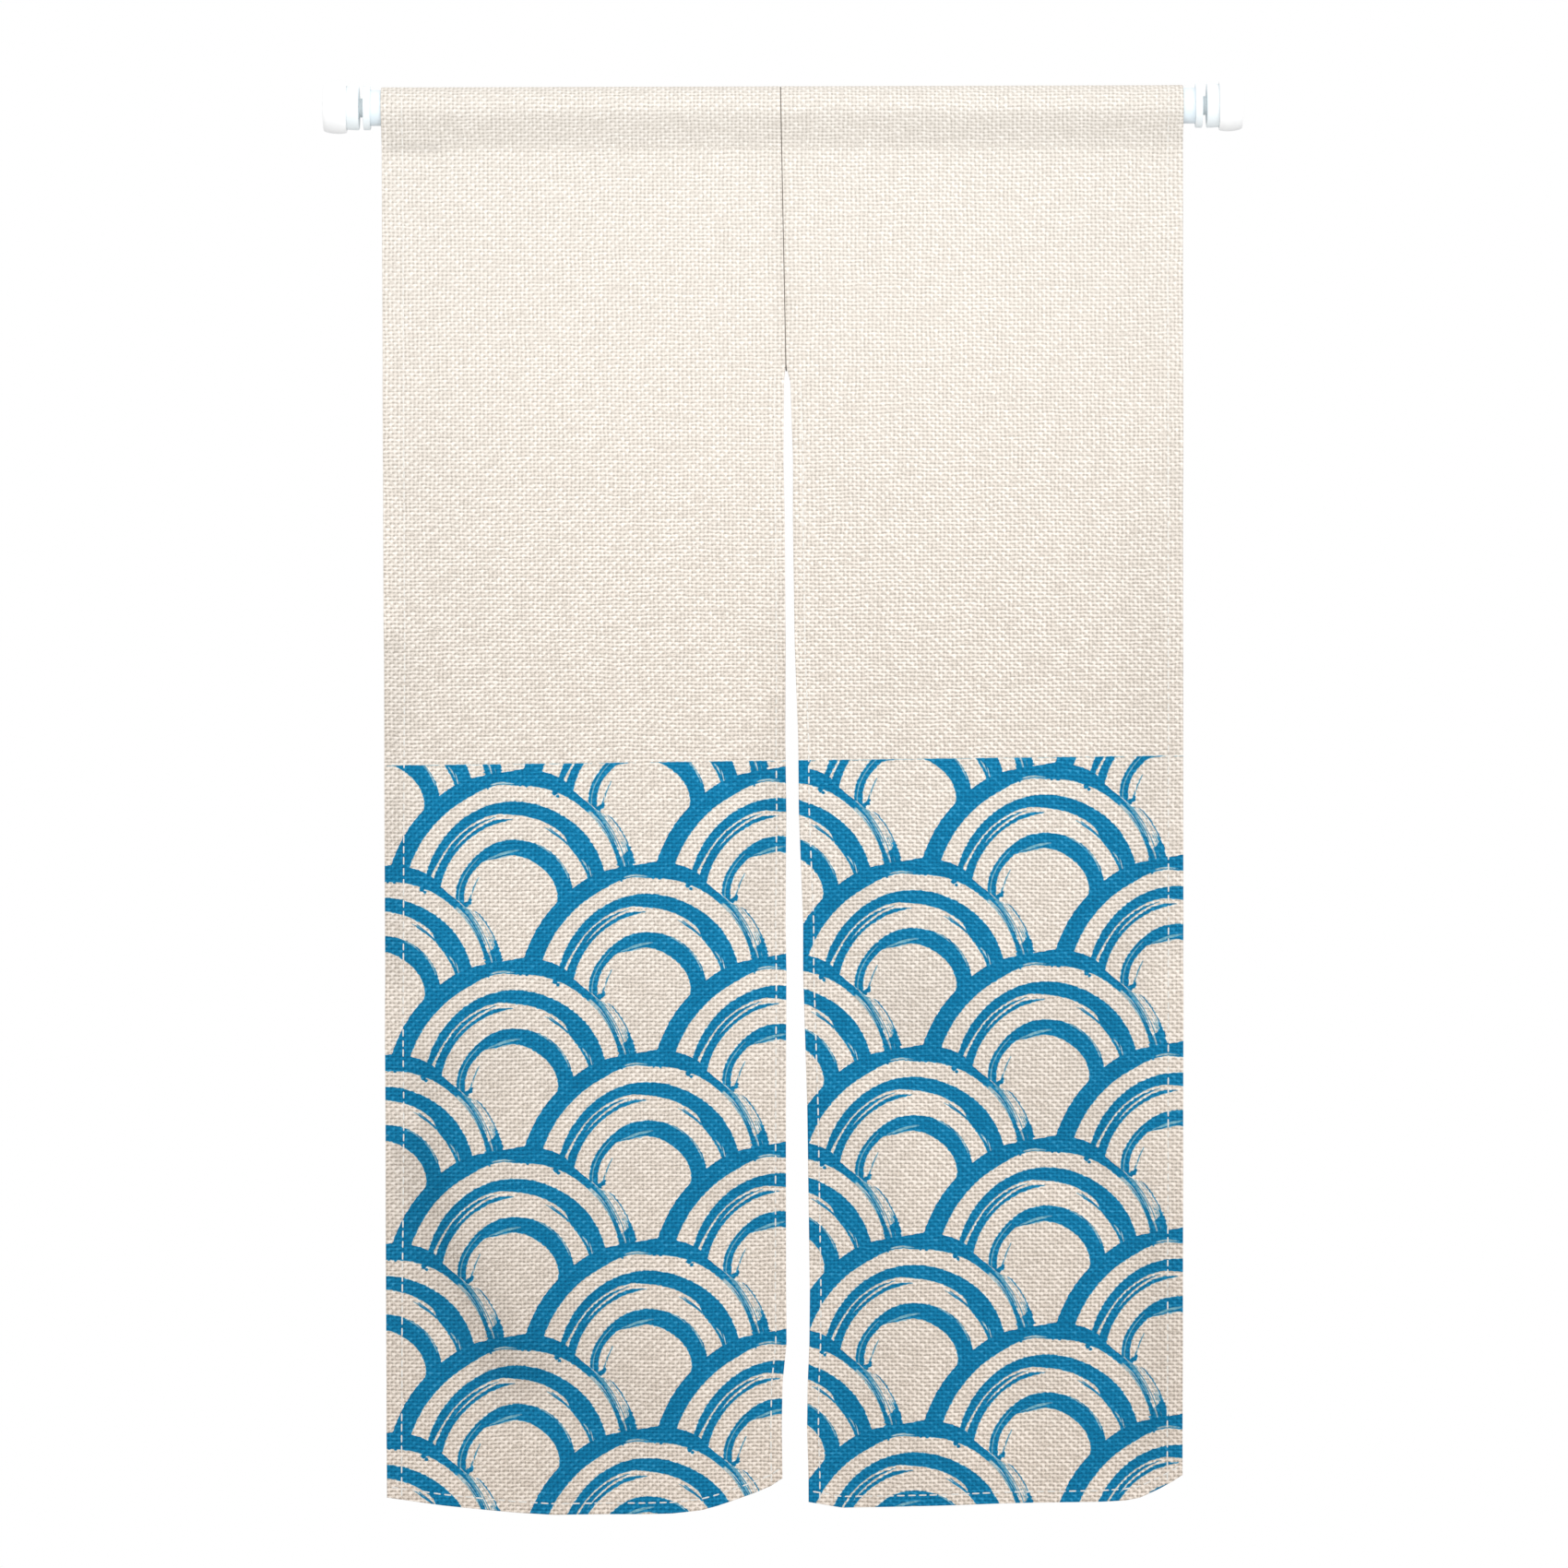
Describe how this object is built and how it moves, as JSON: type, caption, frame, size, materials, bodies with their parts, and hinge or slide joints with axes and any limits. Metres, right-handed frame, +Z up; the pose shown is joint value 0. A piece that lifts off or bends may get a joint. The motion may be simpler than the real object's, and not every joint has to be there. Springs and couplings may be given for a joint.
{
  "type": "door curtain on tension rod",
  "caption": "Split door curtain: cloth panels with a sewn rod pocket hang on a round tension rod and part below in a slit.",
  "frame": {"origin": "centre of the left foot's flat face, on the rod's axis", "axes": "+X along the rod from the left foot to the right foot, +Z up, and the curtain's printed front faces -Y"},
  "size_m": [0.973, 0.0546, 1.5185],
  "materials": {
    "cloth": "coarse slub weave, cream, with a blue brush-drawn wave-scale print on the lower half",
    "tube": "smooth white coating on steel",
    "moulding": "satin white",
    "foot": "soft matte white"
  },
  "bodies": {
    "root": {"panel_left": "cloth", "panel_right": "cloth", "rod_tube": "tube", "collar_left": "moulding", "collar_right": "moulding", "end_cap_left": "moulding", "end_cap_right": "moulding", "foot_left": "foot", "foot_right": "foot"}
  },
  "joints": []
}
